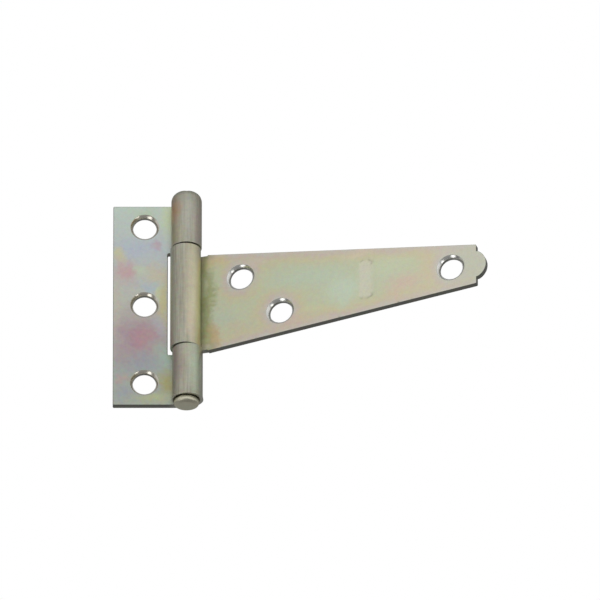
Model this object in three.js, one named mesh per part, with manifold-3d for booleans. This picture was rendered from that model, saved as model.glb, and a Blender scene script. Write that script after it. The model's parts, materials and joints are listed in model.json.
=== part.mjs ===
// T hinge, 3 inch: a slotted butt leaf and a tapered strap leaf, each rolled from sheet steel
// round one headed pin.
//
// Frame, in millimetres: +Z up along the pin, +X from the butt leaf towards the strap's tip,
// +Y into the surface that the hinge is screwed to. The origin is on the butt leaf's back face,
// level with its middle screw hole, and between that hole and the free edge.

import * as THREE from 'three';
import { mergeVertices } from 'three/addons/utils/BufferGeometryUtils.js';
import Module from 'manifold-3d';

const wasm = await Module();
wasm.setup();

// ---- Driving dimensions -------------------------------------------------------------------

const SHEET = 1.6; // thickness of both leaves

// Pin and barrel
const PIN_DIAMETER = 4.2;
const PIN_CLEARANCE = 0.08; // radial, between the pin and the rolled knuckles
const KNUCKLE_GAP = 0.3; // along the pin, between neighbouring knuckles
const SEAM_GAP = 0.3; // between a curl's end and the face of its own leaf
const BARREL_STANDOFF = 0.3; // how far the leaves' backs stand behind the back of the barrel
const BEND_REACH = 3.4; // from the pin axis to where a leaf has become flat

// Butt leaf
const BUTT_TOP = 27.8; // above the middle hole
const BUTT_BOTTOM = -28.2;
const BUTT_REACH = 18.2; // pin axis to free edge
const BUTT_HOLE_REACH = 10.4; // pin axis to the line of holes
const BUTT_HOLE_SPACING = 21.9;
const SLOT_HEIGHT = 28.5; // the space between the two outer knuckles
const SLOT_RISE = 0.2; // the slot's middle above the middle hole
const SLOT_REACH = 4.7; // pin axis to the slot's inner wall
const BUTT_MOUNT_REACH = 15.8; // pin axis to the origin

// Crimped top end of the upper knuckle, and the flared mouth of the lower one
const CRIMP_START = 0.4; // below the leaf's top edge
const CRIMP_RISE = 2.25;
const CRIMP_INSET = 1.8; // how far its rounded shoulder draws in
const CRIMP_WALL = 1.1;
const CRIMP_HOLE_RADIUS = 0.7;
const MOUTH_RADIUS = 3.2;
const MOUTH_DEPTH = 1.0;

// Strap leaf
const STRAP_LENGTH = 76.2; // pin axis to the tip of the nose
const STRAP_ROOT_REACH = 4.6; // pin axis to the strap's square root corners
const STRAP_DROP = 0.2; // its centre line below the middle hole of the butt leaf
const STRAP_HALF_HEIGHT = 14.03; // of the tapered outline, carried back to the pin axis
const STRAP_TAPER = 0.1165; // loss of half height per millimetre of length
const NECK_REACH = 2.5; // pin axis to the end of the knuckle's full height
const NECK_INSET = 0.25; // depth of the small notch beside the barrel
const NOSE_RADIUS = 4.05;
const NOSE_HALF_WIDTH = 3.6; // half height where the nose leaves the shoulder
const SHOULDER_REACH = 73.7; // pin axis to the square shoulders
const STRAP_HOLES = [
  { reach: 13.1, height: 5.9 },
  { reach: 23.3, height: -5.2 },
  { reach: 67.1, height: 0 },
]; // heights from the strap's centre line
const STRAP_FOLD = THREE.MathUtils.degToRad(16.7); // turned forward from the plane of the butt leaf

// Countersunk screw holes
const HOLE_DIAMETER = 5.8;
const COUNTERSINK_DIAMETER = 7.0;
const COUNTERSINK_ANGLE = THREE.MathUtils.degToRad(82);

// Pin head
const HEAD_RADIUS = 3.05;
const HEAD_PROUD = 1.3; // head's full-width rim below the knuckle's end
const HEAD_CROWN = 0.35; // further drop from the rim to the flat face
const HEAD_FACE_RADIUS = 2.1;
const SEAT_CLEARANCE = 0.12;
const PIN_TIP_CHAMFER = 0.4;

// Faceting
const ARC_DIVISIONS = 20;
const ROUND_SEGMENTS = 48;

// ---- Values that follow from them ---------------------------------------------------------

const pinRadius = PIN_DIAMETER / 2;
const boreRadius = pinRadius + PIN_CLEARANCE;
const barrelRadius = boreRadius + SHEET;
const leafBack = barrelRadius + BARREL_STANDOFF; // pin axis to the back plane of a leaf
const leafFront = leafBack - SHEET;
const crimpBase = BUTT_TOP - CRIMP_START;
const slotTop = SLOT_RISE + SLOT_HEIGHT / 2;
const slotBottom = SLOT_RISE - SLOT_HEIGHT / 2;
const pinAxis = new THREE.Vector3(BUTT_MOUNT_REACH, -leafBack, 0);
const overrun = 2; // how far a cutting body runs past what it cuts

// ---- Solids: joining and cutting ----------------------------------------------------------

function toSolid(geometry) {
  const bare = geometry.clone();
  bare.deleteAttribute('normal');
  bare.deleteAttribute('uv');
  const merged = mergeVertices(bare, 1e-4);
  const vertProperties = new Float32Array(merged.attributes.position.array);
  const triVerts = new Uint32Array(merged.index.array);
  return new wasm.Manifold(new wasm.Mesh({ numProp: 3, vertProperties, triVerts }));
}

function toGeometry(solid) {
  const mesh = solid.getMesh();
  const geometry = new THREE.BufferGeometry();
  geometry.setAttribute('position', new THREE.BufferAttribute(mesh.vertProperties, 3));
  geometry.setIndex(new THREE.BufferAttribute(mesh.triVerts, 1));
  return geometry;
}

// ---- Shapes shared by both leaves ---------------------------------------------------------

// The section of a leaf that runs from the pin axis towards +X: a flat sheet, an easy bend up to
// the back of the barrel, and a curl round the pin that ends just short of the sheet's face.
function leafSection(reach) {
  const curlEnd = Math.asin((leafFront - SEAM_GAP - BARREL_STANDOFF / 2) / barrelRadius);
  const back = Math.PI / 2;
  const bendA = BEND_REACH * 0.4;
  const bendB = BEND_REACH * 0.6;
  const section = new THREE.Shape();
  section.moveTo(reach, leafFront);
  section.lineTo(reach, leafBack);
  section.lineTo(BEND_REACH, leafBack);
  section.bezierCurveTo(bendB, leafBack, bendA, barrelRadius, 0, barrelRadius);
  section.absarc(0, 0, barrelRadius, back, curlEnd + 2 * Math.PI, false);
  section.absarc(0, 0, boreRadius, curlEnd + 2 * Math.PI, back, true);
  section.bezierCurveTo(bendA, boreRadius, bendB, leafFront, BEND_REACH, leafFront);
  section.closePath();
  return section;
}

// A section in the XY plane, drawn out along Z from bottom to top.
function drawnAlongZ(shape, bottom, top) {
  const geometry = new THREE.ExtrudeGeometry(shape, {
    depth: top - bottom,
    steps: 1,
    bevelEnabled: false,
    curveSegments: ARC_DIVISIONS,
  });
  geometry.translate(0, 0, bottom);
  return toSolid(geometry);
}

// An outline whose x and y are the part's X and Z, drawn right through the barrel along Y.
function drawnAlongY(shape) {
  const depth = 2 * (leafBack + overrun);
  const geometry = new THREE.ExtrudeGeometry(shape, {
    depth,
    steps: 1,
    bevelEnabled: false,
    curveSegments: ARC_DIVISIONS,
  });
  geometry.translate(0, 0, -depth / 2);
  geometry.rotateX(Math.PI / 2);
  return toSolid(geometry);
}

// A closed profile of [radius, z] pairs turned round the Z axis.
function turned(profile) {
  const points = profile.map(([radius, z]) => new THREE.Vector2(radius, z));
  const geometry = new THREE.LatheGeometry(points, ROUND_SEGMENTS);
  geometry.rotateX(Math.PI / 2);
  return toSolid(geometry);
}

// The body that a countersunk hole removes: it opens on the front face and runs out of the back.
function screwHole(x, z) {
  const holeRadius = HOLE_DIAMETER / 2;
  const rimRadius = COUNTERSINK_DIAMETER / 2;
  const slope = Math.tan(COUNTERSINK_ANGLE / 2);
  const sinkDepth = (rimRadius - holeRadius) / slope;
  const points = [
    [0, -overrun],
    [rimRadius + overrun * slope, -overrun],
    [holeRadius, sinkDepth],
    [holeRadius, SHEET + overrun],
    [0, SHEET + overrun],
  ].map(([radius, depth]) => new THREE.Vector2(radius, depth));
  const geometry = new THREE.LatheGeometry(points, ROUND_SEGMENTS);
  geometry.translate(x, leafFront, z);
  return toSolid(geometry);
}

// ---- Butt leaf ----------------------------------------------------------------------------

// A rectangle with a knuckle tab at the top and one at the bottom of its barrel side.
function buttOutline() {
  const tabEnd = barrelRadius + overrun;
  const outline = new THREE.Shape();
  outline.moveTo(-BUTT_REACH, BUTT_BOTTOM);
  outline.lineTo(tabEnd, BUTT_BOTTOM);
  outline.lineTo(tabEnd, slotBottom);
  outline.lineTo(-SLOT_REACH, slotBottom);
  outline.lineTo(-SLOT_REACH, slotTop);
  outline.lineTo(tabEnd, slotTop);
  outline.lineTo(tabEnd, crimpBase);
  outline.lineTo(-barrelRadius, crimpBase);
  outline.lineTo(-barrelRadius, BUTT_TOP);
  outline.lineTo(-BUTT_REACH, BUTT_TOP);
  outline.closePath();
  return outline;
}

// The upper knuckle's end, crimped in over the pin so that the pin can't climb out.
function crimpedEnd() {
  const centre = barrelRadius - CRIMP_INSET;
  const outer = new THREE.Path();
  outer.absellipse(centre, crimpBase, CRIMP_INSET, CRIMP_RISE, 0, Math.PI / 2, false);
  const innerRise = CRIMP_RISE - CRIMP_WALL;
  const inner = new THREE.Path();
  inner.absarc(boreRadius - innerRise, crimpBase, innerRise, Math.PI / 2, 0, true);
  const rim = [
    new THREE.Vector2(CRIMP_HOLE_RADIUS, crimpBase + CRIMP_RISE),
    new THREE.Vector2(CRIMP_HOLE_RADIUS, crimpBase + innerRise),
  ];
  const skirt = [
    new THREE.Vector2(boreRadius, crimpBase - overrun),
    new THREE.Vector2(barrelRadius, crimpBase - overrun),
  ];
  const round = [...outer.getPoints(4), ...rim, ...inner.getPoints(3), ...skirt];
  const profile = round.map((point) => [point.x, point.y]);
  return turned([...profile, profile[0]]);
}

// The lower knuckle's mouth, opened out as a seat for the pin's head.
function mouthCutter() {
  const slope = (MOUTH_RADIUS - boreRadius) / MOUTH_DEPTH;
  return turned([
    [0, BUTT_BOTTOM - overrun],
    [MOUTH_RADIUS + slope * overrun, BUTT_BOTTOM - overrun],
    [boreRadius, BUTT_BOTTOM + MOUTH_DEPTH],
    [0, BUTT_BOTTOM + MOUTH_DEPTH],
  ]);
}

function buttLeaf() {
  const section = leafSection(BUTT_REACH + overrun);
  const facingRight = drawnAlongZ(section, BUTT_BOTTOM - overrun, BUTT_TOP + overrun);
  let leaf = facingRight.mirror([1, 0, 0]).intersect(drawnAlongY(buttOutline()));
  leaf = leaf.add(crimpedEnd()).subtract(mouthCutter());
  for (const step of [-1, 0, 1]) {
    leaf = leaf.subtract(screwHole(-BUTT_HOLE_REACH, step * BUTT_HOLE_SPACING));
  }
  return leaf;
}

// ---- Strap leaf ---------------------------------------------------------------------------

// The knuckle's tab, a shallow notch at the neck, the tapered strap, square shoulders and the
// round nose. Beyond the knuckle the lower half repeats the upper one.
function strapOutline() {
  const halfAt = (reach) => STRAP_HALF_HEIGHT - STRAP_TAPER * reach;
  const rootHalf = halfAt(STRAP_ROOT_REACH);
  const noseAngle = Math.asin(NOSE_HALF_WIDTH / NOSE_RADIUS);
  const curlSide = -barrelRadius - overrun;
  const upper = [
    [NECK_REACH, rootHalf - NECK_INSET],
    [STRAP_ROOT_REACH, rootHalf - NECK_INSET],
    [STRAP_ROOT_REACH, rootHalf],
    [SHOULDER_REACH, halfAt(SHOULDER_REACH)],
    [SHOULDER_REACH, NOSE_HALF_WIDTH],
  ];
  const outline = new THREE.Shape();
  outline.moveTo(curlSide, slotTop - KNUCKLE_GAP);
  outline.lineTo(NECK_REACH, slotTop - KNUCKLE_GAP);
  for (const [reach, half] of upper) outline.lineTo(reach, half - STRAP_DROP);
  const nose = STRAP_LENGTH - NOSE_RADIUS;
  outline.absarc(nose, -STRAP_DROP, NOSE_RADIUS, noseAngle, -noseAngle, true);
  for (const [reach, half] of upper.toReversed()) outline.lineTo(reach, -half - STRAP_DROP);
  outline.lineTo(NECK_REACH, slotBottom + KNUCKLE_GAP);
  outline.lineTo(curlSide, slotBottom + KNUCKLE_GAP);
  outline.closePath();
  return outline;
}

function strapLeaf() {
  const section = leafSection(STRAP_LENGTH + overrun);
  const rolled = drawnAlongZ(section, slotBottom, slotTop);
  let leaf = rolled.intersect(drawnAlongY(strapOutline()));
  for (const { reach, height } of STRAP_HOLES) {
    leaf = leaf.subtract(screwHole(reach, height - STRAP_DROP));
  }
  return leaf;
}

// ---- Hinge pin ----------------------------------------------------------------------------

// A plain shank with a chamfered tip, and a low crowned head seated in the lower knuckle's mouth.
function hingePin() {
  const tip = crimpBase - SEAM_GAP;
  const seatTop = BUTT_BOTTOM + MOUTH_DEPTH - SEAT_CLEARANCE;
  const seatFoot = BUTT_BOTTOM - SEAT_CLEARANCE;
  const rim = BUTT_BOTTOM - HEAD_PROUD;
  return turned([
    [0, rim - HEAD_CROWN],
    [HEAD_FACE_RADIUS, rim - HEAD_CROWN],
    [HEAD_RADIUS, rim],
    [HEAD_RADIUS, seatFoot],
    [pinRadius, seatTop],
    [pinRadius, tip - PIN_TIP_CHAMFER],
    [pinRadius - PIN_TIP_CHAMFER, tip],
    [0, tip],
  ]);
}

// ---- The assembly -------------------------------------------------------------------------

function named(name, solid, color, roughness) {
  const material = new THREE.MeshStandardMaterial({ color, roughness, metalness: 0.9 });
  const mesh = new THREE.Mesh(toGeometry(solid), material);
  mesh.name = name;
  mesh.position.copy(pinAxis);
  return mesh;
}

const hinge = new THREE.Group();
hinge.name = 't_hinge';
hinge.add(named('butt_leaf', buttLeaf(), 0xb6b59c, 0.38));
hinge.add(named('hinge_pin', hingePin(), 0x8f8a78, 0.42));

const strap = named('strap_leaf', strapLeaf(), 0xb9b7a2, 0.38);
strap.rotation.z = -STRAP_FOLD;
hinge.add(strap);

export default hinge;
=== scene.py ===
"""Looks of a 3 inch T hinge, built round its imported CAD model.

Each leaf is made as the real one is: a flat blank with rounded edges and countersunk holes, whose
points are then carried along the leaf's section, round the barrel. The pin is turned.
Lengths below are in millimetres; metres() takes them to the scene.
"""

import json
import math

import bpy
import numpy as np
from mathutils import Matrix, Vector
from mathutils.geometry import delaunay_2d_cdt


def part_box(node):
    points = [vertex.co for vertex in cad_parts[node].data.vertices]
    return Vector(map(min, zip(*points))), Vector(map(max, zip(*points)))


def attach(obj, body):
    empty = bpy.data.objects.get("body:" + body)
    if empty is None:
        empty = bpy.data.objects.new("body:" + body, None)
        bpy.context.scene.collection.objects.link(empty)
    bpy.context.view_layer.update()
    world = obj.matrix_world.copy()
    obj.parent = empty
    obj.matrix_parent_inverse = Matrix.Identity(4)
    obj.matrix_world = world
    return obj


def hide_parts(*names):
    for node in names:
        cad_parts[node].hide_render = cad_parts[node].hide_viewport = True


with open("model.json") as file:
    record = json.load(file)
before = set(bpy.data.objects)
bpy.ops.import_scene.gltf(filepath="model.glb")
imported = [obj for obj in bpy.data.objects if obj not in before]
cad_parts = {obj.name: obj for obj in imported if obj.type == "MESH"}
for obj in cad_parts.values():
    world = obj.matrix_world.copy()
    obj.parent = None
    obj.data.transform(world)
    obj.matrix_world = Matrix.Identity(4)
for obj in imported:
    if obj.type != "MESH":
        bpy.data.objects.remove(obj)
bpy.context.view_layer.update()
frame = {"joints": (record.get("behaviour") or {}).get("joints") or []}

# ---- The hinge's dimensions, in millimetres -----------------------------------------------

MM = 0.001
swing = frame["joints"][0]
AXIS_X, AXIS_Y = (value / MM for value in swing["pos_m"][:2])
butt_low, butt_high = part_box("butt_leaf")
pin_low, pin_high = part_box("hinge_pin")
strap_low, strap_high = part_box("strap_leaf")

SHEET = 1.6
BORE_RADIUS = 2.18
BARREL_RADIUS = BORE_RADIUS + SHEET
LEAF_BACK = -AXIS_Y
LEAF_FRONT = LEAF_BACK - SHEET
BEND_REACH = 3.4
SEAM_GAP = 0.3

BUTT_REACH = AXIS_X - butt_low.x / MM
BUTT_BOTTOM = butt_low.z / MM
BUTT_TOP = 27.8
BUTT_HOLE_REACH = 10.4
BUTT_HOLE_SPACING = 21.9
SLOT_REACH = 4.7
KNUCKLE_GAP = 0.3
KNUCKLE_TOP = strap_high.z / MM
KNUCKLE_BOTTOM = strap_low.z / MM
SLOT_TOP = KNUCKLE_TOP + KNUCKLE_GAP
SLOT_BOTTOM = KNUCKLE_BOTTOM - KNUCKLE_GAP

CRIMP_BASE = BUTT_TOP - 0.4
CRIMP_RISE = butt_high.z / MM - CRIMP_BASE
CRIMP_INSET = 1.8
CRIMP_WALL = 1.1
CRIMP_HOLE_RADIUS = 0.7
CRIMP_DENT = 0.17
MOUTH_RADIUS = 3.2
MOUTH_DEPTH = 1.0
MOUTH_FLARE = 0.16
UPPER_KNUCKLE_SHIFT = -0.08  # the rolled knuckles are not quite in line
LOWER_KNUCKLE_SHIFT = 0.23
MIDDLE_KNUCKLE_SHIFT = -0.32

STRAP_LENGTH = 76.2
STRAP_ROOT_REACH = 4.6
STRAP_DROP = 0.2
STRAP_HALF_HEIGHT = 14.03
STRAP_TAPER = 0.1165
NECK_REACH = 2.5
NECK_INSET = 0.25
NOSE_RADIUS = 4.05
NOSE_HALF_WIDTH = 3.6
SHOULDER_REACH = 73.7
STRAP_HOLES = ((13.1, 5.9), (23.3, -5.2), (67.1, 0.0))
STRAP_FOLD = math.radians(16.7)

HOLE_RADIUS = 2.9
RIM_RADIUS = 3.5
COUNTERSINK_SLOPE = math.tan(math.radians(41))

BUTT_ROUND = 0.18  # the die rolls the front edge over
STRAP_ROUND = 0.08
BACK_ROUND = 0.1
CORNER_ROUND = 0.3

# The camera's fit to the hinge
CAMERA_ELEVATION = math.radians(-29)
CAMERA_DISTANCE = 6.5  # a longer lens would put the side views past their far clip
VIEW_WIDTH = 148.04
AIM_PAST_PIN = 27.95
FLOOR_HEIGHT = -5.6


def metres(points):
    return np.asarray(points, float) * MM


# ---- The section that both leaves are rolled to -------------------------------------------

MID_RADIUS = BORE_RADIUS + SHEET / 2
LEAF_MID = LEAF_FRONT + SHEET / 2


def bend_curve(samples=40):
    """Points of the easy bend, from the flat sheet to the top of the barrel's back."""
    start = np.array([BEND_REACH, LEAF_MID])
    end = np.array([0.0, MID_RADIUS])
    first = np.array([BEND_REACH * 0.6, LEAF_MID])
    second = np.array([BEND_REACH * 0.4, MID_RADIUS])
    t = np.linspace(0, 1, samples)[:, None]
    return (
        (1 - t) ** 3 * start
        + 3 * (1 - t) ** 2 * t * first
        + 3 * (1 - t) * t**2 * second
        + t**3 * end
    )


BEND = bend_curve()
BEND_STEPS = np.linalg.norm(np.diff(BEND, axis=0), axis=1)
BEND_S = BEND_REACH - np.concatenate([[0], np.cumsum(BEND_STEPS)])
ARC_S = BEND_S[-1]  # where the curl starts
SEAM_HEIGHT = LEAF_FRONT - SEAM_GAP - (LEAF_BACK - BARREL_RADIUS) / 2
CURL_ANGLE = math.radians(270) + math.asin(SEAM_HEIGHT / BARREL_RADIUS)
CURL_END_S = ARC_S - MID_RADIUS * CURL_ANGLE


def section(s, depth):
    """The (x, y) of points at length s along a leaf and depth below its front face."""
    height = depth - SHEET / 2
    slope = np.gradient(BEND, axis=0)
    slope /= np.linalg.norm(slope, axis=1)[:, None]
    bend_x = np.interp(s, BEND_S[::-1], BEND[::-1, 0])
    bend_y = np.interp(s, BEND_S[::-1], BEND[::-1, 1])
    lean_x = np.interp(s, BEND_S[::-1], slope[::-1, 1])
    lean_y = np.interp(s, BEND_S[::-1], -slope[::-1, 0])
    turn = (ARC_S - s) / MID_RADIUS
    radius = MID_RADIUS + height
    flat = s >= BEND_REACH
    curl = s <= ARC_S
    x = np.where(flat, s, np.where(curl, -radius * np.sin(turn), bend_x + lean_x * height))
    y = np.where(
        flat, LEAF_FRONT + depth, np.where(curl, radius * np.cos(turn), bend_y + lean_y * height)
    )
    return x, y


def smooth(value, low, high):
    t = np.clip((value - low) / (high - low), 0, 1)
    return t * t * (3 - 2 * t)


# ---- Blanks: outlines and their fill -------------------------------------------------------


def fillet(corner, before, after, radius, steps=4):
    """The arc that rounds one corner of an outline."""
    a = (before - corner) / np.linalg.norm(before - corner)
    b = (after - corner) / np.linalg.norm(after - corner)
    half = math.acos(np.clip(a @ b, -1, 1)) / 2
    reach = radius / math.tan(half)
    centre = corner + (a + b) / np.linalg.norm(a + b) * radius / math.sin(half)
    start = corner + a * reach - centre
    end = corner + b * reach - centre
    sweep = math.atan2(start[0] * end[1] - start[1] * end[0], start @ end)
    points = []
    for k in range(steps + 1):
        angle = sweep * k / steps
        c, s = math.cos(angle), math.sin(angle)
        points.append(centre + np.array([c * start[0] - s * start[1], s * start[0] + c * start[1]]))
    return points


def step_at(s):
    """How far apart an outline's points may be at length s: close together round the curl."""
    return 0.22 if s < BEND_REACH + 0.5 else 0.9


def filled_in(points):
    """The same closed outline with points added along its long edges."""
    dense = []
    for here, there in zip(points, points[1:] + points[:1]):
        dense.append(here)
        along_s = abs(there[0] - here[0])
        low_s = min(here[0], there[0])
        step = step_at(low_s) if along_s > 0.5 else 0.6
        if along_s > 0.5 and low_s < BEND_REACH:
            step = 0.22
        count = int(np.linalg.norm(there - here) / step)
        for k in range(1, count + 1):
            dense.append(here + (there - here) * k / (count + 1))
    return np.array(dense)


def rounded_outline(corners):
    """A closed outline, anticlockwise, from (s, z, radius) corners."""
    points = []
    spots = [np.array(corner[:2], float) for corner in corners]
    for k, corner in enumerate(corners):
        before = spots[k - 1]
        after = spots[(k + 1) % len(spots)]
        if corner[2] > 0:
            points += fillet(spots[k], before, after, corner[2])
        else:
            points.append(spots[k])
    return filled_in(points)


def inset(loop, distance):
    """An anticlockwise loop moved inwards, with mitred corners."""
    ahead = np.roll(loop, -1, axis=0) - loop
    ahead /= np.linalg.norm(ahead, axis=1)[:, None]
    behind = np.roll(ahead, 1, axis=0)
    inward_ahead = np.column_stack([-ahead[:, 1], ahead[:, 0]])
    inward_behind = np.column_stack([-behind[:, 1], behind[:, 0]])
    both = inward_ahead + inward_behind
    share = 2 / np.maximum((both**2).sum(1), 0.4)
    return loop + both * share[:, None] * distance


def circle(centre, radius, count=72):
    angles = np.arange(count) * 2 * math.pi / count
    ring = np.column_stack([np.cos(angles), np.sin(angles)])
    return np.asarray(centre) + ring * radius


def inside(points, loop):
    """Which points lie inside a closed loop."""
    x, y = points[:, 0][:, None], points[:, 1][:, None]
    x0, y0 = loop[:, 0], loop[:, 1]
    x1, y1 = np.roll(x0, -1), np.roll(y0, -1)
    crosses = (y0 > y) != (y1 > y)
    with np.errstate(divide="ignore", invalid="ignore"):
        at = x0 + (y - y0) * (x1 - x0) / (y1 - y0)
    return (crosses & (x < at)).sum(1) % 2 == 1


def distance_to(points, loop):
    """Each point's distance to a closed loop's edges."""
    a = loop
    edge = np.roll(loop, -1, axis=0) - a
    length = np.maximum((edge**2).sum(1), 1e-12)
    nearest = np.full(len(points), 1e9)
    for start in range(0, len(points), 2000):
        block = points[start : start + 2000]
        along = ((block[:, None] - a) * edge).sum(2) / length
        foot = a + np.clip(along, 0, 1)[..., None] * edge
        gap = np.linalg.norm(block[:, None] - foot, axis=2)
        nearest[start : start + 2000] = gap.min(1)
    return nearest


def grid_points(loop, holes, stamp=None):
    """Points inside a blank: in close columns round the curl, wider apart on the flat."""
    low, high = loop.min(0), loop.max(0)
    curl = np.arange(low[0], BEND_REACH + 0.3, 0.22)
    flat = np.arange(BEND_REACH + 0.9, high[0], 0.75)
    rows = np.arange(low[1] + 0.1, high[1], 0.45)
    columns = np.concatenate([curl, flat])
    s, z = np.meshgrid(columns, rows)
    z = z + np.where(s > BEND_REACH + 0.5, (np.round(s / 0.75) % 2) * 0.2, 0)
    points = np.column_stack([s.ravel(), z.ravel()])
    coarse = (points[:, 0] > BEND_REACH + 0.5) & (np.round(points[:, 1] / 0.45) % 2 == 1)
    points = points[~coarse]
    points = points[inside(points, loop)]
    clearance = np.where(points[:, 0] > BEND_REACH + 0.5, 0.3, 0.12)
    keep = distance_to(points, loop) > clearance
    for hole in holes + ([stamp] if stamp is not None else []):
        keep &= distance_to(points, hole) > 0.2
    for hole in holes:
        keep &= ~inside(points, hole)
    return points[keep]


def fill(loops, points):
    """Triangles between an outer loop and its holes, with points scattered between."""
    rings = [np.asarray(loop) for loop in loops]
    everything = np.concatenate(rings + [points])
    edges = []
    start = 0
    for ring in rings:
        count = len(ring)
        edges += [(start + k, start + (k + 1) % count) for k in range(count)]
        start += count
    made = delaunay_2d_cdt([Vector(p) for p in everything], edges, [], 0, 1e-7)
    corners, triangles, sources = made[0], made[2], made[3]
    if len(corners) != len(everything):
        raise RuntimeError("the fill merged or split some of its points")
    order = [source[0] for source in sources]
    triangles = np.array([[order[k] for k in face] for face in triangles])
    middles = everything[triangles].mean(1)
    keep = inside(middles, rings[0])
    for hole in rings[1:]:
        keep &= ~inside(middles, hole)
    triangles = triangles[keep]
    a, b, c = (everything[triangles[:, k]] for k in range(3))
    turn = (b - a)[:, 0] * (c - a)[:, 1] - (b - a)[:, 1] * (c - a)[:, 0]
    triangles[turn < 0] = triangles[turn < 0][:, ::-1]
    return everything, triangles


def edge_profile(front_round):
    """(inset, depth) pairs down a blank's cut edge, from its front face to its back face."""
    pairs = []
    for k in range(5):
        a = math.radians(90 * k / 4)
        pairs.append((front_round * (1 - math.sin(a)), front_round * (1 - math.cos(a))))
    for k in range(4):
        a = math.radians(90 * k / 3)
        pairs.append((BACK_ROUND * (1 - math.cos(a)), SHEET - BACK_ROUND * (1 - math.sin(a))))
    return pairs


def hole_profile():
    """(radius, depth) pairs down a countersunk hole, from the front face to the back face."""
    sink = (RIM_RADIUS - HOLE_RADIUS) / COUNTERSINK_SLOPE
    lip = 0.1
    return [
        (RIM_RADIUS + lip, 0),
        (RIM_RADIUS + lip * 0.4, lip * 0.12),
        (RIM_RADIUS, lip * 0.45),
        (RIM_RADIUS - lip * COUNTERSINK_SLOPE, lip * 1.2),
        (RIM_RADIUS * 0.5 + HOLE_RADIUS * 0.5, sink * 0.5 + lip * 0.1),
        (HOLE_RADIUS + lip * 0.5, sink - lip * 0.5),
        (HOLE_RADIUS, sink + lip * 0.5),
        (HOLE_RADIUS, SHEET - lip),
        (HOLE_RADIUS + lip * 0.3, SHEET - lip * 0.25),
        (HOLE_RADIUS + lip, SHEET),
    ]


class Blank:
    """A sheet-metal blank: points as (s, z, depth), with faces, and two marks for the materials."""

    def __init__(self):
        self.points = []
        self.walls = []
        self.faces = []
        self.count = 0

    def add(self, flat, depth, wall):
        flat = np.asarray(flat)
        depth = np.broadcast_to(depth, len(flat))
        self.points.append(np.column_stack([flat, depth]))
        self.walls.append(np.full(len(flat), float(wall)))
        start = self.count
        self.count += len(flat)
        return np.arange(start, start + len(flat))

    def band(self, upper, lower):
        """Quads between two rings; upper is the one nearer the front face."""
        for k in range(len(upper)):
            after = (k + 1) % len(upper)
            self.faces.append((upper[k], lower[k], lower[after], upper[after]))


def add_rim(blank, outline, front_round):
    """The blank's cut edge. Returns its rings on the front and on the back face."""
    rings = []
    for distance, depth in edge_profile(front_round):
        wall = 0 if depth == 0 or depth == SHEET else 1
        rings.append(blank.add(inset(outline, distance), depth, wall))
    for upper, lower in zip(rings, rings[1:]):
        blank.band(upper, lower)
    return rings[0], rings[-1]


def add_hole(blank, centre):
    """One countersunk hole's wall. Returns its rings on the front and on the back face."""
    rings = []
    for radius, depth in hole_profile():
        wall = 0 if depth == 0 or depth == SHEET else 2
        rings.append(blank.add(circle(centre, radius), depth, wall))
    for upper, lower in zip(rings, rings[1:]):
        blank.band(lower, upper)
    return rings[0], rings[-1]


def pressed_in(inner, stamp):
    """The face's inner points with the panel's own points, and how deep each one lies."""
    rim, foot = stamp
    sunk = inside(inner, rim)
    clear = distance_to(inner, foot) > 0.1
    inner, sunk = inner[clear], sunk[clear]
    depth = np.concatenate([np.where(sunk, STAMP_DEPTH, 0.0), stamp_depths(stamp)])
    return np.concatenate([inner, rim, foot]), depth


def add_face(blank, rings, depth, stamp=None):
    """Fills one broad face between its outline and its holes."""
    spots = np.concatenate(blank.points)
    loops = [spots[ring][:, :2] for ring in rings]
    inner = grid_points(loops[0], loops[1:], stamp[0] if stamp else None)
    depths = np.full(len(inner), float(depth))
    if stamp:
        inner, depths = pressed_in(inner, stamp)
    _, triangles = fill(loops, inner)
    index = np.concatenate(rings + [blank.add(inner, depths, 0)])
    for a, b, c in index[triangles]:
        blank.faces.append((a, b, c) if depth == 0 else (c, b, a))


def make_blank(outline, hole_centres, front_round, stamp=None):
    """A blank's points and faces, with its wall marks and each point's distance to an edge."""
    blank = Blank()
    pairs = [add_rim(blank, outline, front_round)]
    pairs += [add_hole(blank, centre) for centre in hole_centres]
    add_face(blank, [front for front, back in pairs], 0, stamp)
    add_face(blank, [back for front, back in pairs], SHEET)
    points = np.concatenate(blank.points)
    flat = points[:, :2]
    near = distance_to(flat, outline)
    for centre in hole_centres:
        near = np.minimum(near, np.abs(np.linalg.norm(flat - centre, axis=1) - RIM_RADIUS))
    return points, np.concatenate(blank.walls), blank.faces, near


# ---- A plain stamped panel on the strap ----------------------------------------------------

STAMP_DEPTH = 0.12
STAMP_REACH = 45.3
STAMP_HALF_WIDTH = 1.75
STAMP_HALF_HEIGHT = 5.2
STAMP_SLOPE = 0.12


def stamp_panel():
    """Two loops: the rim of a shallow rounded rectangle, and the foot of its sloping wall."""

    def loop(shrink):
        wide, high = STAMP_HALF_WIDTH - shrink, STAMP_HALF_HEIGHT - shrink
        turn = 0.9 - shrink
        spots = []
        for sx, sz, start in ((1, -1, -90), (1, 1, 0), (-1, 1, 90), (-1, -1, 180)):
            for k in range(6):
                angle = math.radians(start + 90 * k / 5)
                spots.append(
                    (
                        STAMP_REACH + sx * (wide - turn) + turn * math.cos(angle),
                        sz * (high - turn) + turn * math.sin(angle),
                    )
                )
        return np.array(spots)

    return loop(0), loop(STAMP_SLOPE)


def stamp_depths(loops):
    return np.concatenate([np.zeros(len(loops[0])), np.full(len(loops[1]), STAMP_DEPTH)])


# ---- The two leaves ------------------------------------------------------------------------


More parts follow.
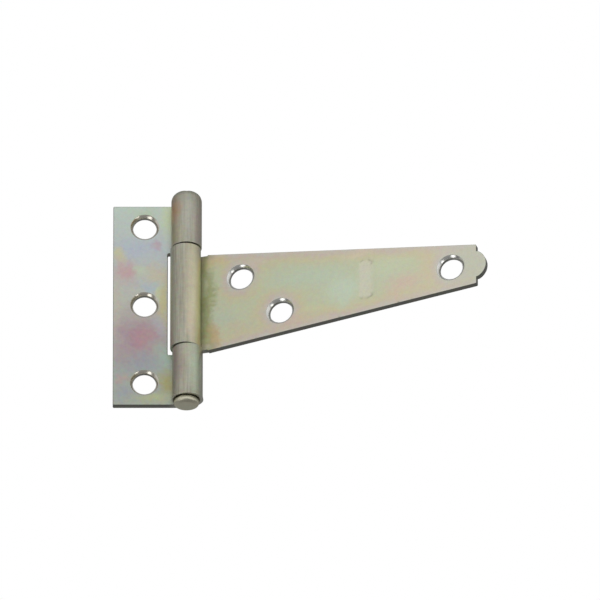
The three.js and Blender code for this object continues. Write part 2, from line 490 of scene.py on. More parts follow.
def butt_outline():
    """A rectangle with a tall tab at the top and a tab at the bottom, each to be curled."""
    crimp_top = CRIMP_BASE + crimp_length()
    tab_side = ARC_S + 0.5
    return rounded_outline(
        [
            (CURL_END_S, BUTT_BOTTOM, CORNER_ROUND),
            (BUTT_REACH, BUTT_BOTTOM, CORNER_ROUND),
            (BUTT_REACH, BUTT_TOP, CORNER_ROUND),
            (tab_side, BUTT_TOP, 0.12),
            (tab_side, crimp_top, CORNER_ROUND),
            (CURL_END_S, crimp_top, CORNER_ROUND),
            (CURL_END_S, SLOT_TOP, CORNER_ROUND),
            (SLOT_REACH, SLOT_TOP, CORNER_ROUND),
            (SLOT_REACH, SLOT_BOTTOM, CORNER_ROUND),
            (CURL_END_S, SLOT_BOTTOM, CORNER_ROUND),
        ]
    )


def strap_outline():
    """The knuckle's tab, the notch at the neck, the tapered strap, its shoulders and its nose."""

    def half_at(reach):
        return STRAP_HALF_HEIGHT - STRAP_TAPER * reach

    root = half_at(STRAP_ROOT_REACH)
    shoulder = half_at(SHOULDER_REACH)
    nose_angle = math.asin(NOSE_HALF_WIDTH / NOSE_RADIUS)
    nose = []
    for k in range(33):
        angle = nose_angle * (2 * k / 32 - 1)
        x = STRAP_LENGTH - NOSE_RADIUS + NOSE_RADIUS * math.cos(angle)
        nose.append((x, NOSE_RADIUS * math.sin(angle) - STRAP_DROP, 0))

    def side(sign, knuckle_end):
        return [
            (CURL_END_S, knuckle_end, CORNER_ROUND),
            (NECK_REACH, knuckle_end, 0.15),
            (NECK_REACH, sign * (root - NECK_INSET) - STRAP_DROP, 0.08),
            (STRAP_ROOT_REACH, sign * (root - NECK_INSET) - STRAP_DROP, 0.08),
            (STRAP_ROOT_REACH, sign * root - STRAP_DROP, 0.13),
            (SHOULDER_REACH, sign * shoulder - STRAP_DROP, CORNER_ROUND),
            (SHOULDER_REACH, sign * NOSE_HALF_WIDTH - STRAP_DROP, 0),
        ]

    lower = side(-1, KNUCKLE_BOTTOM)
    upper = side(1, KNUCKLE_TOP)[::-1]
    return rounded_outline(lower + nose[1:-1] + upper)


def crimp_curve(samples=60):
    """The outside of the crimped end, as (radius, rise, length): a shoulder and a flat top."""
    angles = np.linspace(0, math.pi / 2, samples)
    radius = BARREL_RADIUS - CRIMP_INSET * (1 - np.cos(angles))
    rise = CRIMP_RISE * np.sin(angles)
    radius = np.append(radius, CRIMP_HOLE_RADIUS)
    rise = np.append(rise, CRIMP_RISE)
    steps = np.hypot(np.diff(radius), np.diff(rise))
    return radius, rise, np.concatenate([[0], np.cumsum(steps)])


CRIMP_CURVE = crimp_curve()


def crimp_length():
    """How much of the tab's height goes over the pin."""
    return CRIMP_CURVE[2][-1]


def crimp(s, z, depth, x, y):
    """Carries the part of the upper tab above the leaf round and over the pin's end."""
    curve_radius, curve_rise, lengths = CRIMP_CURVE
    quarter = lengths[-2]
    past = np.clip(z - CRIMP_BASE, 0, lengths[-1])
    outside = np.interp(past, lengths, curve_radius)
    up = np.interp(past, lengths, curve_rise)
    lean = smooth(past, 0, quarter) * math.pi / 2
    wall = SHEET + (CRIMP_WALL - SHEET) * smooth(past, 0, quarter)
    below = (1 - depth / SHEET) * wall
    radius = outside - below * np.cos(lean)
    rise = up - below * np.sin(lean)
    turn = (ARC_S - s) / MID_RADIUS
    middle = (CURL_ANGLE - 0.5 / MID_RADIUS) / 2
    cover = CURL_ANGLE + 0.5 / MID_RADIUS
    closed = 1 + (2 * math.pi * 0.992 / cover - 1) * smooth(past, 0, quarter * 0.4)
    turn = middle + (turn - middle) * closed
    on_tab = 1 - smooth(s, ARC_S + 0.5, ARC_S + 2.5)
    share = smooth(z, CRIMP_BASE, CRIMP_BASE + 0.6) * on_tab
    x = x * (1 - share) - radius * np.sin(turn) * share
    y = y * (1 - share) + radius * np.cos(turn) * share
    dent = CRIMP_DENT * np.exp(-((x / 0.4) ** 2)) * smooth(-y, 0.3, 1.2) * smooth(past, 1.0, quarter)
    lifted = CRIMP_BASE + rise - dent
    z = np.where(past > 0, z * (1 - on_tab) + lifted * on_tab, z)
    return x, y, z


def open_mouth(z, x, y):
    """Opens the lower knuckle's mouth: a cone inside for the pin's head, and a slight flare."""
    radius = np.hypot(x, y)
    up = z - BUTT_BOTTOM
    cone = MOUTH_RADIUS - np.clip(up / MOUTH_DEPTH, 0, 1) * (MOUTH_RADIUS - BORE_RADIUS)
    wanted = np.where(up < MOUTH_DEPTH, np.maximum(radius, cone), radius)
    round_barrel = smooth(-y, -2.2, -0.5)
    wanted = wanted + MOUTH_FLARE * (1 - smooth(up, 0, 1.1)) * round_barrel * (radius < 4.2)
    scale = wanted / np.maximum(radius, 1e-6)
    return x * scale, y * scale


def shifted(x, s, depth, distance):
    """Moves a knuckle's outside sideways, and leaves its bore where it is."""
    return x + distance * depth / SHEET * (1 - smooth(s, 0, 4))


def butt_points(points):
    s, z, depth = points.T
    x, y = section(s, depth)
    x, y, z = crimp(s, z, depth, x, y)
    x, y = open_mouth(z, x, y)
    knuckle_shift = np.where(z > 0, UPPER_KNUCKLE_SHIFT, LOWER_KNUCKLE_SHIFT)
    x = shifted(x, s, depth, -knuckle_shift)
    return np.column_stack([AXIS_X - x, AXIS_Y + y, z])


def strap_points(points):
    s, z, depth = points.T
    x, y = section(s, depth)
    x = shifted(x, s, depth, MIDDLE_KNUCKLE_SHIFT)
    c, d = math.cos(STRAP_FOLD), math.sin(STRAP_FOLD)
    return np.column_stack([AXIS_X + c * x + d * y, AXIS_Y - d * x + c * y, z])


# ---- Objects -------------------------------------------------------------------------------


def add_object(name, points, faces, material):
    mesh = bpy.data.meshes.new(name)
    mesh.from_pydata([tuple(p) for p in metres(points)], [], [tuple(map(int, f)) for f in faces])
    mesh.validate()
    mesh.update()
    mesh.shade_smooth()
    mesh.materials.append(material)
    piece = bpy.data.objects.new(name, mesh)
    bpy.context.scene.collection.objects.link(piece)
    return piece


def mark(piece, name, values):
    """Stores one number per point, for the material."""
    attribute = piece.data.attributes.new(name, "FLOAT", "POINT")
    attribute.data.foreach_set("value", np.asarray(values, np.float32))


def mark_sheet(piece, blank_points):
    """Stores where each point lies on the flat blank, in millimetres."""
    attribute = piece.data.attributes.new("sheet", "FLOAT_VECTOR", "POINT")
    attribute.data.foreach_set("vector", blank_points.astype(np.float32).ravel())


def even_normals(piece):
    """Lets the broad faces keep flat shading beside their narrow rounded edges."""
    modifier = piece.modifiers.new("even_normals", "WEIGHTED_NORMAL")
    modifier.mode = "FACE_AREA"
    modifier.weight = 60


def add_leaf(name, outline, holes, front_round, place, mirrored, material, stamp=None):
    points, walls, faces, near = make_blank(outline, holes, front_round, stamp)
    if mirrored:
        faces = [face[::-1] for face in faces]
    piece = add_object(name, place(points), faces, material)
    mark_sheet(piece, points)
    mark(piece, "edge_mm", near)
    mark(piece, "wall", walls)
    mark(piece, "curl", 1 - smooth(points[:, 0], 1.0, 5.0))
    even_normals(piece)
    return piece


def turned_piece(name, profile, material, segments=96):
    """A closed solid turned round the pin's axis from (radius, z) pairs that start and end at 0."""
    points = [(AXIS_X, AXIS_Y, profile[0][1])]
    rings = []
    for radius, z in profile[1:-1]:
        ring = []
        for k in range(segments):
            angle = 2 * math.pi * k / segments
            spot = (AXIS_X + radius * math.cos(angle), AXIS_Y + radius * math.sin(angle), z)
            ring.append(len(points))
            points.append(spot)
        rings.append(ring)
    last = len(points)
    points.append((AXIS_X, AXIS_Y, profile[-1][1]))
    faces = []
    for k in range(segments):
        after = (k + 1) % segments
        faces.append((0, rings[0][after], rings[0][k]))
        for lower, upper in zip(rings, rings[1:]):
            faces.append((lower[k], lower[after], upper[after], upper[k]))
        faces.append((last, rings[-1][k], rings[-1][after]))
    return add_object(name, points, faces, material)


def pin_profile():
    """The pin from the middle of its head's face to the middle of its tip."""
    low = pin_low.z / MM
    tip = pin_high.z / MM
    head_radius = (pin_high.x - pin_low.x) / MM / 2
    face_radius = 2.1
    crown = 0.35
    seat_foot = BUTT_BOTTOM - 0.12
    shank = 2.1
    rim = low + crown
    return [
        (0, low),
        (1.0, low),
        (face_radius - 0.25, low),
        (face_radius - 0.05, low + 0.02),
        (face_radius + 0.12, low + 0.08),
        (head_radius - 0.35, rim - 0.1),
        (head_radius - 0.14, rim + 0.02),
        (head_radius - 0.03, rim + 0.16),
        (head_radius, rim + 0.34),
        (head_radius, seat_foot - 0.1),
        (head_radius - 0.05, seat_foot),
        (shank + 0.1, seat_foot + 0.92),
        (shank, seat_foot + 1.05),
        (shank, 0),
        (shank, tip - 0.4),
        (shank - 0.35, tip - 0.05),
        (shank - 0.5, tip),
        (0, tip),
    ]


# ---- Materials -----------------------------------------------------------------------------


class Nodes:
    """Short names for building a node tree."""

    def __init__(self, material):
        material.use_nodes = True
        self.tree = material.node_tree
        self.tree.nodes.clear()

    def add(self, kind, **settings):
        node = self.tree.nodes.new(kind)
        for key, value in settings.items():
            setattr(node, key, value)
        return node

    def link(self, source, target):
        self.tree.links.new(source, target)

    def attribute(self, name, output="Fac"):
        return self.add("ShaderNodeAttribute", attribute_name=name).outputs[output]

    def maths(self, operation, a, b, clamp=False):
        node = self.add("ShaderNodeMath", operation=operation, use_clamp=clamp)
        for socket, value in zip(node.inputs, (a, b)):
            if isinstance(value, (int, float)):
                socket.default_value = value
            else:
                self.link(value, socket)
        return node.outputs[0]

    def noise(self, vector, scale, stretch=(1, 1, 1), detail=3, rough=0.5, shift=(0, 0, 0)):
        mapping = self.add("ShaderNodeMapping")
        mapping.inputs["Scale"].default_value = stretch
        mapping.inputs["Location"].default_value = shift
        self.link(vector, mapping.inputs["Vector"])
        node = self.add("ShaderNodeTexNoise")
        node.inputs["Scale"].default_value = scale
        node.inputs["Detail"].default_value = detail
        node.inputs["Roughness"].default_value = rough
        self.link(mapping.outputs[0], node.inputs["Vector"])
        return node.outputs["Fac"]

    def wander(self, place, scale, reach, shift=(0, 0, 0)):
        """The same places, each carried off by up to about half of reach."""
        moved = self.add("ShaderNodeVectorMath", operation="ADD")
        moved.inputs[1].default_value = shift
        self.link(place, moved.inputs[0])
        noise = self.add("ShaderNodeTexNoise")
        noise.inputs["Scale"].default_value = scale
        noise.inputs["Detail"].default_value = 3
        self.link(moved.outputs[0], noise.inputs["Vector"])
        centred = self.add("ShaderNodeVectorMath", operation="SUBTRACT")
        centred.inputs[1].default_value = (0.5, 0.5, 0.5)
        self.link(noise.outputs["Color"], centred.inputs[0])
        scaled = self.add("ShaderNodeVectorMath", operation="MULTIPLY")
        scaled.inputs[1].default_value = (reach, reach, 0)
        self.link(centred.outputs[0], scaled.inputs[0])
        total = self.add("ShaderNodeVectorMath", operation="ADD")
        self.link(place, total.inputs[0])
        self.link(scaled.outputs[0], total.inputs[1])
        return total.outputs[0]

    def axis(self, place, name):
        split = self.add("ShaderNodeSeparateXYZ")
        self.link(place, split.inputs[0])
        return split.outputs[name]

    def patch(self, place, centre, size, strength):
        """A soft oval: its strength at the centre, and nothing outside 1.75 sizes."""
        away = self.add("ShaderNodeVectorMath", operation="SUBTRACT")
        away.inputs[1].default_value = (*centre, 0)
        self.link(place, away.inputs[0])
        shrunk = self.add("ShaderNodeVectorMath", operation="MULTIPLY")
        shrunk.inputs[1].default_value = (1 / size[0], 1 / size[1], 0)
        self.link(away.outputs[0], shrunk.inputs[0])
        length = self.add("ShaderNodeVectorMath", operation="LENGTH")
        self.link(shrunk.outputs[0], length.inputs[0])
        soft = self.add("ShaderNodeMapRange", interpolation_type="SMOOTHSTEP")
        soft.inputs["From Min"].default_value = 1.75
        soft.inputs["From Max"].default_value = 0.15
        soft.inputs["To Max"].default_value = strength
        self.link(length.outputs["Value"], soft.inputs["Value"])
        return soft.outputs["Result"]

    def patches(self, place, colour, spots):
        for centre, size, strength, spot_colour in spots:
            colour = self.mix(self.patch(place, centre, size, strength), colour, spot_colour)
        return colour

    def spread(self, value, from_low, from_high, to_low, to_high):
        node = self.add("ShaderNodeMapRange", clamp=True)
        for name, number in (
            ("From Min", from_low),
            ("From Max", from_high),
            ("To Min", to_low),
            ("To Max", to_high),
        ):
            node.inputs[name].default_value = number
        self.link(value, node.inputs["Value"])
        return node.outputs["Result"]

    def ramp(self, value, stops):
        node = self.add("ShaderNodeValToRGB")
        ramp = node.color_ramp
        while len(ramp.elements) < len(stops):
            ramp.elements.new(0.5)
        for element, (position, colour) in zip(ramp.elements, stops):
            element.position = position
            element.color = (*colour, 1)
        self.link(value, node.inputs["Fac"])
        return node.outputs["Color"]

    def grey(self, level):
        node = self.add("ShaderNodeCombineColor")
        for socket in node.inputs:
            self.link(level, socket)
        return node.outputs[0]

    def mix(self, share, a, b, blend="MIX"):
        node = self.add("ShaderNodeMix", data_type="RGBA", blend_type=blend)
        for socket, value in ((node.inputs[0], share), (node.inputs[6], a), (node.inputs[7], b)):
            if isinstance(value, (int, float)):
                socket.default_value = value
            elif isinstance(value, tuple):
                socket.default_value = (*value, 1)
            else:
                self.link(value, socket)
        return node.outputs[2]


    def finish(self, colour, rough, relief, strength, distance):
        """The metal itself, with its relief, sent to the output."""
        shader = self.add("ShaderNodeBsdfPrincipled")
        shader.inputs["Metallic"].default_value = 1.0
        self.link(colour, shader.inputs["Base Color"])
        self.link(rough, shader.inputs["Roughness"])
        bump = self.add("ShaderNodeBump")
        bump.inputs["Strength"].default_value = strength
        bump.inputs["Distance"].default_value = distance
        self.link(relief, bump.inputs["Height"])
        self.link(bump.outputs[0], shader.inputs["Normal"])
        output = self.add("ShaderNodeOutputMaterial")
        self.link(shader.outputs[0], output.inputs["Surface"])


FRONT_LIGHT = 0.76  # how much of the front room's white a flat leaf sends to the camera


def seen(red, green, blue):
    """The base colour that looks like this screen colour in the front light."""
    linear = []
    for value in (red, green, blue):
        share = value / 255
        linear.append(((share + 0.055) / 1.055) ** 2.4 / FRONT_LIGHT)
    return tuple(min(value, 1.0) for value in linear)


# Chromate colours, with painted shades and highlights in the few entries marked so: where each lies
# on the flat blank (length along it and height, in mm), its reach both ways, its strength, and its
# colour.
BUTT_PATCHES = (
    ((4.6, 24.5), (1.5, 4.0), 0.8, seen(189, 200, 165)),
    ((10.7, 26.0), (2.6, 1.6), 0.5, seen(176, 190, 160)),
    ((12.0, 16.5), (5.5, 2.6), 0.8, seen(172, 179, 190)),
    ((7.8, 17.1), (1.0, 1.3), 0.8, seen(180, 158, 165)),
    ((16.6, 14.2), (1.7, 2.0), 0.9, seen(191, 188, 156)),
    ((14.9, 9.3), (3.0, 3.4), 0.95, seen(186, 160, 160)),
    ((7.2, 9.2), (3.0, 2.0), 0.8, seen(188, 180, 160)),
    ((11.4, 9.6), (1.2, 1.6), 0.7, seen(182, 193, 170)),
    ((9.1, 5.3), (2.4, 1.3), 0.8, seen(167, 180, 186)),
    ((6.9, 3.5), (1.3, 2.4), 0.7, seen(190, 194, 154)),
    ((5.4, 0.6), (1.2, 7.0), 0.9, seen(184, 178, 138)),
    ((17.4, -1.0), (1.0, 9.0), 0.7, seen(184, 178, 164)),
    ((12.1, -9.4), (5.8, 6.6), 1.0, seen(163, 139, 147)),
    ((10.8, -9.6), (2.4, 3.0), 0.45, seen(178, 140, 142)),
    ((6.9, -6.4), (1.5, 2.6), 0.7, seen(170, 168, 172)),
    ((5.0, -14.5), (2.8, 3.2), 0.8, seen(156, 175, 160)),
    ((11.0, -16.4), (4.0, 2.0), 0.7, seen(149, 156, 160)),
    ((16.2, -20.0), (1.4, 1.4), 0.8, seen(174, 154, 151)),
    ((5.2, -21.8), (1.8, 3.2), 0.9, seen(160, 156, 108)),
    ((8.2, -26.3), (3.4, 1.3), 0.8, seen(172, 176, 138)),
    ((16.0, -25.0), (2.2, 2.0), 0.6, seen(152, 156, 163)),
    ((11.0, -19.6), (3.0, 1.0), 0.5, seen(144, 146, 134)),
)
BUTT_BARREL_PATCHES = (
    ((-6.6, 20.0), (1.4, 5.0), 0.5, seen(176, 160, 152)),
    ((-9.0, 22.0), (1.2, 6.5), 0.5, seen(176, 178, 168)),
    ((-12.6, 24.0), (1.6, 3.4), 0.8, seen(178, 142, 108)),
    ((-12.4, 17.0), (1.8, 3.0), 0.5, seen(170, 160, 124)),
    ((-10.6, 27.5), (3.0, 1.6), 0.4, seen(150, 150, 140)),
    ((-11.3, -19.0), (1.6, 5.0), 0.6, seen(152, 138, 132)),
    ((-7.6, -20.0), (1.4, 6.5), 0.7, seen(180, 194, 172)),
    ((-9.2, -16.0), (1.2, 3.0), 0.5, seen(178, 178, 160)),
)
STRAP_FILM_AND_NECK_SHADE_PATCHES = (
    # painted shade: the dark band at the strap's neck, where the sheet bends into the knuckle, over
    # its own olive tone
    ((4.8, 0.0), (1.2, 20.0), 0.7, seen(140, 144, 96)),
    ((7.0, 10.8), (2.0, 2.0), 0.7, seen(192, 178, 140)),
    ((6.6, 6.4), (1.6, 2.8), 0.6, seen(176, 186, 160)),
    ((9.0, -5.6), (2.8, 2.6), 0.6, seen(174, 182, 164)),
    ((6.0, -9.8), (1.2, 3.0), 0.7, seen(184, 158, 122)),
    ((16.5, 9.3), (3.0, 1.4), 0.6, seen(192, 180, 168)),
    ((12.0, -8.5), (4.0, 2.0), 0.5, seen(186, 176, 152)),
    ((19.0, 3.5), (3.5, 2.6), 0.5, seen(183, 186, 156)),
    ((31.0, 3.0), (10.0, 3.0), 0.8, seen(176, 187, 167)),
    ((39.5, -2.5), (3.2, 3.4), 0.8, seen(181, 193, 174)),
    ((27.0, -8.5), (4.0, 1.8), 0.6, seen(192, 174, 158)),
    ((33.0, -6.5), (4.0, 1.2), 0.5, seen(190, 187, 152)),
    ((43.0, 7.4), (3.5, 1.0), 0.6, seen(196, 184, 162)),
    ((51.0, 2.6), (4.5, 2.4), 0.5, seen(184, 192, 166)),
    ((55.0, -3.0), (4.5, 2.4), 0.7, seen(194, 172, 158)),
    ((61.0, 1.0), (2.2, 4.5), 0.5, seen(192, 178, 154)),
    ((67.0, 5.0), (4.0, 1.4), 0.4, seen(186, 182, 176)),
    ((73.5, 0.0), (8.0, 6.5), 0.9, seen(180, 182, 167)),
)
STRAP_BARREL_FILM_SHADE_AND_HIGHLIGHT_PATCHES = (
    # painted highlight: these three light patches make the bright streak down the front of the
    # middle knuckle
    ((-12.7, 0.0), (1.7, 16.0), 1.0, seen(212, 207, 174)),
    ((-11.0, 4.0), (0.9, 11.0), 0.6, seen(186, 178, 156)),
    ((-11.4, -8.0), (1.0, 4.0), 0.5, seen(200, 184, 164)),
    ((-14.6, 0.0), (0.7, 13.0), 0.6, seen(160, 174, 130)),
    ((-5.8, 3.0), (1.4, 12.0), 0.5, seen(164, 170, 146)),
    # painted shade at the root of the neck, over its own olive tone
    ((3.4, 0.0), (1.6, 16.0), 0.7, seen(168, 166, 122)),
)


def butt_colour(n, place, edge):
    """Lavender and green above, rose in the lower half, darker towards the foot."""
    height = n.spread(n.axis(place, "Y"), -28.0, 28.0, 0.0, 1.0)
    colour = n.ramp(
        height,
        [
            (0.00, seen(160, 166, 154)),
            (0.22, seen(157, 164, 158)),
            (0.50, seen(178, 179, 168)),
            (0.75, seen(178, 184, 182)),
            (1.00, seen(183, 196, 185)),
        ],
    )
    return n.patches(place, colour, BUTT_PATCHES)


def strap_colour(n, place, edge):
    """Grey-pink along the edges, then straw, then a grey green in the middle, and a painted shade at
    the neck.
    """
    loose = n.noise(place, 0.22, detail=3)
    across = n.maths("ADD", edge, n.maths("MULTIPLY", n.maths("SUBTRACT", loose, 0.5), 3.0))
    colour = n.ramp(
        n.spread(across, 0.0, 8.0, 0.0, 1.0),
        [
            (0.00, seen(184, 180, 170)),
            (0.12, seen(186, 176, 162)),
            (0.30, seen(186, 181, 152)),
            (0.55, seen(181, 184, 157)),
            (1.00, seen(180, 185, 161)),
        ],
    )
    return n.patches(place, colour, STRAP_FILM_AND_NECK_SHADE_PATCHES)


def sheet_colour(n, sheet, edge, flat_colour, brighter, shift):
    """The flat leaf's film colours, lighter along the leaf where the light is stronger."""
    place = n.wander(n.wander(sheet, 0.16, 6.0, shift), 0.7, 2.6, shift)
    colour = flat_colour(n, place, edge)
    along = n.spread(n.axis(sheet, "X"), 8.0, 62.0, 1.0, brighter)
    return n.mix(1.0, colour, n.grey(along), "MULTIPLY")


def barrel_colour(n, sheet, barrel_patches, shift):
    """The barrel was drawn through its rolls: greyer, with streaks along the pin. The strap's
    patches add a painted highlight and a painted shade.
    """
    streaks = n.noise(sheet, 1.0, stretch=(3.2, 0.12, 1), detail=5, rough=0.6, shift=shift)
    colour = n.ramp(
        streaks,
        [(0.30, seen(146, 142, 126)), (0.50, seen(159, 157, 142)), (0.70, seen(171, 170, 154))],
    )
    return n.patches(n.wander(sheet, 0.5, 1.2, shift), colour, barrel_patches)


def panel_colour(n, depth, colour):
    """The plain pressed panel is burnished by its punch."""
    in_panel = n.spread(depth, 0.01, STAMP_DEPTH, 0.0, 0.55)
    not_deeper = n.spread(depth, STAMP_DEPTH + 0.02, STAMP_DEPTH + 0.06, 1.0, 0.0)
    return n.mix(n.maths("MULTIPLY", in_panel, not_deeper), colour, seen(206, 202, 186))


def cut_colour(n, wall, is_hole, depth, curl, hole_colour, colour):
    """Cut edges are duller than the faces, except round the curl, where they are painted lighter as
    painted light. The holes' countersinks are bright.
    """
    is_edge = n.spread(wall, 0.0, 1.0, 0.0, 1.0)
    is_bore = n.spread(depth, 0.62, 0.80, 0.0, 1.0)
    # painted light: the curl's cut edges, the knuckles' ends and the lower knuckle's mouth among
    # them, get a light colour in place of the dull one
    dull_and_curl_lit_edge_colour = n.mix(curl, (0.25, 0.25, 0.22), (0.60, 0.60, 0.52))
    colour = n.mix(is_edge, colour, dull_and_curl_lit_edge_colour)
    inner_colour = n.mix(is_bore, hole_colour, (0.34, 0.34, 0.30))
    return n.mix(is_hole, colour, inner_colour)


def uneven(n, sheet, grain, colour):
    """Small uneven tints, and grain."""
    tint = n.add("ShaderNodeTexNoise")
    tint.inputs["Scale"].default_value = 1.1
    tint.inputs["Detail"].default_value = 4
    n.link(sheet, tint.inputs["Vector"])
    colour = n.mix(0.32, colour, tint.outputs["Color"], "SOFT_LIGHT")
    grain_light = n.spread(grain, 0.3, 0.7, 0.89, 1.09)
    return n.mix(1.0, colour, n.grey(grain_light), "MULTIPLY")


def chromate(name, flat_colour, barrel_patches, hole_colour, brighter, shift):
    """Zinc plate under a thin chromate film, with painted light and painted shade in some of its
    colours.
    """
    material = bpy.data.materials.new(name)
    n = Nodes(material)
    sheet = n.attribute("sheet", "Vector")
    depth = n.axis(sheet, "Z")
    curl = n.attribute("curl")
    wall = n.attribute("wall")
    is_hole = n.spread(wall, 1.4, 1.9, 0.0, 1.0)
    grain = n.noise(sheet, 4.5, detail=6, rough=0.7)

    edge = n.attribute("edge_mm")
    colour = sheet_colour(n, sheet, edge, flat_colour, brighter, shift)
    colour = n.mix(curl, colour, barrel_colour(n, sheet, barrel_patches, shift))
    colour = panel_colour(n, depth, colour)
    colour = cut_colour(n, wall, is_hole, depth, curl, hole_colour, colour)
    colour = uneven(n, sheet, grain, colour)

    face_rough = n.spread(grain, 0.3, 0.7, 0.30, 0.44)
    rough = n.maths("MULTIPLY", face_rough, n.maths("SUBTRACT", 1.0, is_hole))
    rough = n.maths("ADD", rough, n.maths("MULTIPLY", is_hole, 0.17))
    scratches = n.noise(sheet, 1.0, stretch=(0.5, 14, 1), detail=4, rough=0.7)
    pits = n.noise(sheet, 9.0, detail=5, rough=0.65)
    relief = n.maths("ADD", n.maths("MULTIPLY", scratches, 0.5), pits)
    n.finish(colour, rough, relief, 0.25, 0.00004)
    return material


def pin_material():
    """The pin's head: dull plated steel with faint turning marks."""
    material = bpy.data.materials.new("pin_steel")
    n = Nodes(material)
    place = n.add("ShaderNodeTexCoord").outputs["Object"]
    patches = n.noise(place, 420, detail=3)
    grain = n.noise(place, 3500, detail=4, rough=0.6)
    colour = n.ramp(
        patches, [(0.35, (0.70, 0.68, 0.52)), (0.5, (0.78, 0.74, 0.58)), (0.65, (0.76, 0.76, 0.60))]
    )
    n.finish(colour, n.spread(grain, 0.3, 0.7, 0.36, 0.50), grain, 0.3, 0.00003)
    return material


# ---- Studio --------------------------------------------------------------------------------


def add_floor():
    bpy.ops.mesh.primitive_plane_add(size=30, location=(0, 0, FLOOR_HEIGHT))
    floor = bpy.context.object
    floor.name = "floor"
    material = bpy.data.materials.new("floor")
    material.use_nodes = True
    shader = material.node_tree.nodes["Principled BSDF"]
    shader.inputs["Base Color"].default_value = (0.93, 0.93, 0.92, 1)
    shader.inputs["Roughness"].default_value = 0.9
    floor.data.materials.append(material)
    floor.visible_glossy = False  # the steel reflects the room, not the floor


def add_softbox(name, direction, distance, size, radiance):
    """A square light seen from the hinge in one direction, with a set brightness."""
    light = bpy.data.lights.new(name, "AREA")
    light.shape = "SQUARE"
    light.size = size
    light.energy = radiance * math.pi * size**2
    towards = Vector(direction).normalized()
    holder = bpy.data.objects.new(name, light)
    holder.location = towards * distance
    holder.rotation_euler = (-towards).to_track_quat("-Z", "Y").to_euler()
    holder.visible_camera = False
    bpy.context.scene.collection.objects.link(holder)


ROOM_LEVELS = ((0.0, 0.80), (0.22, 0.75), (0.5, 0.46), (0.8, 0.32), (1.0, 0.28))
BELOW_LEVEL = 0.38


def spread_in(tree, value, from_low, from_high, to_low=0.0, to_high=1.0, kind="SMOOTHSTEP"):
    """Carries a value from one range to another in the world's node tree."""
    node = tree.nodes.new("ShaderNodeMapRange")
    node.interpolation_type = kind
    node.inputs["From Min"].default_value = from_low
    node.inputs["From Max"].default_value = from_high
    node.inputs["To Min"].default_value = to_low
    node.inputs["To Max"].default_value = to_high
    tree.links.new(value, node.inputs["Value"])
    return node.outputs[0]


def maths_in(tree, operation, a, b):
    node = tree.nodes.new("ShaderNodeMath")
    node.operation = operation
    tree.links.new(a, node.inputs[0])
    tree.links.new(b, node.inputs[1])
    return node.outputs[0]


def room_level(tree):
    """Bright in front of the hinge, dimmer behind it, and dark below its front."""
    place = tree.nodes.new("ShaderNodeTexCoord")
    axes = tree.nodes.new("ShaderNodeSeparateXYZ")
    tree.links.new(place.outputs["Generated"], axes.inputs[0])
    ramp = tree.nodes.new("ShaderNodeValToRGB")
    while len(ramp.color_ramp.elements) < len(ROOM_LEVELS):
        ramp.color_ramp.elements.new(0.5)
    for element, (position, level) in zip(ramp.color_ramp.elements, ROOM_LEVELS):
        element.position = position
        element.color = (level, level, level, 1)
    back = axes.outputs["Y"]
    tree.links.new(spread_in(tree, back, -1.0, 1.0, kind="LINEAR"), ramp.inputs["Fac"])
    above = spread_in(tree, axes.outputs["Z"], -0.45, -0.05, BELOW_LEVEL)
    shade = maths_in(tree, "MAXIMUM", above, spread_in(tree, back, 0.2, 0.7))
    return maths_in(tree, "MULTIPLY", ramp.outputs["Color"], shade)


def add_world():
    """White to the camera and to the floor. The steel reflects a soft room."""
    world = bpy.data.worlds.new("studio")
    bpy.context.scene.world = world
    world.use_nodes = True
    tree = world.node_tree
    tree.nodes.clear()
    room = tree.nodes.new("ShaderNodeBackground")
    tree.links.new(room_level(tree), room.inputs["Color"])
    white = tree.nodes.new("ShaderNodeBackground")
    white.inputs["Color"].default_value = (1, 1, 1, 1)
    rays = tree.nodes.new("ShaderNodeLightPath")
    plain = maths_in(
        tree, "MAXIMUM", rays.outputs["Is Camera Ray"], rays.outputs["Is Diffuse Ray"]
    )
    mix = tree.nodes.new("ShaderNodeMixShader")
    tree.links.new(plain, mix.inputs[0])
    tree.links.new(room.outputs[0], mix.inputs[1])
    tree.links.new(white.outputs[0], mix.inputs[2])
    output = tree.nodes.new("ShaderNodeOutputWorld")
    tree.links.new(mix.outputs[0], output.inputs["Surface"])


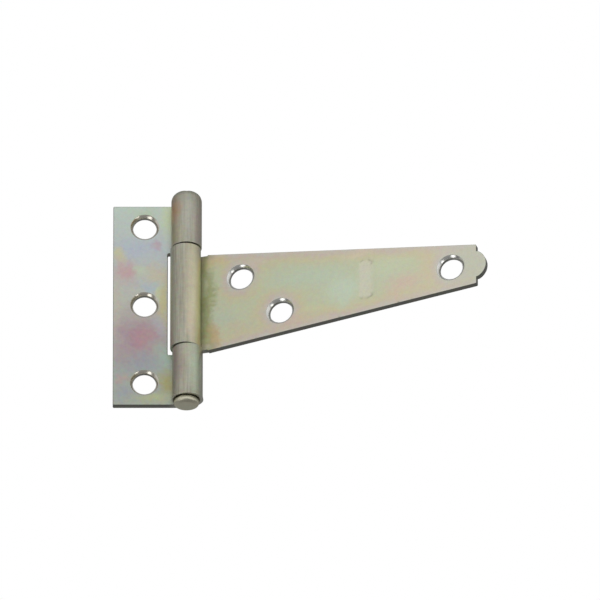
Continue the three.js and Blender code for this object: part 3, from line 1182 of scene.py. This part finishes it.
def add_camera():
    data = bpy.data.cameras.new("camera")
    data.sensor_width = 36
    data.lens = data.sensor_width * CAMERA_DISTANCE / (VIEW_WIDTH * MM)
    data.clip_start = 0.01
    data.clip_end = 100
    camera = bpy.data.objects.new("camera", data)
    aim = Vector(((AXIS_X + AIM_PAST_PIN) * MM, AXIS_Y * MM, 0))
    back = Vector((0, -math.cos(CAMERA_ELEVATION), math.sin(CAMERA_ELEVATION)))
    camera.location = aim + back * CAMERA_DISTANCE
    camera.rotation_euler = (-back).to_track_quat("-Z", "Y").to_euler()
    bpy.context.scene.collection.objects.link(camera)
    bpy.context.scene.camera = camera


# ---- The scene -----------------------------------------------------------------------------

butt_steel = chromate(
    "butt_steel", butt_colour, BUTT_BARREL_PATCHES, (0.84, 0.80, 0.70), 1.0, (3.1, 7.7, 0)
)
strap_steel = chromate(
    "strap_steel", strap_colour, STRAP_BARREL_FILM_SHADE_AND_HIGHLIGHT_PATCHES, (0.86, 0.86, 0.82), 1.18, (40, 5, 0)
)

butt_holes = [(BUTT_HOLE_REACH, k * BUTT_HOLE_SPACING) for k in (-1, 0, 1)]
butt = add_leaf(
    "butt_leaf_plate", butt_outline(), butt_holes, BUTT_ROUND, butt_points, True, butt_steel
)
strap_holes = [(reach, rise - STRAP_DROP) for reach, rise in STRAP_HOLES]
strap = add_leaf(
    "strap_leaf_plate",
    strap_outline(),
    strap_holes,
    STRAP_ROUND,
    strap_points,
    False,
    strap_steel,
    stamp=stamp_panel(),
)
pin = turned_piece("hinge_pin_turned", pin_profile(), pin_material())

for piece, body, node, slot in (
    (butt, "butt", "butt_leaf", "leaf_steel"),
    (strap, "strap", "strap_leaf", "leaf_steel"),
    (pin, "butt", "hinge_pin", "pin_steel"),
):
    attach(piece, body)
    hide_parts(node)

add_floor()
add_world()
add_softbox("low_left", (-0.55, -0.25, -0.80), 1.3, 0.58, 1.25)
add_softbox("low_right", (0.70, -0.48, -0.53), 1.3, 0.45, 1.3)
add_camera()
bpy.context.scene.view_settings.view_transform = "Standard"
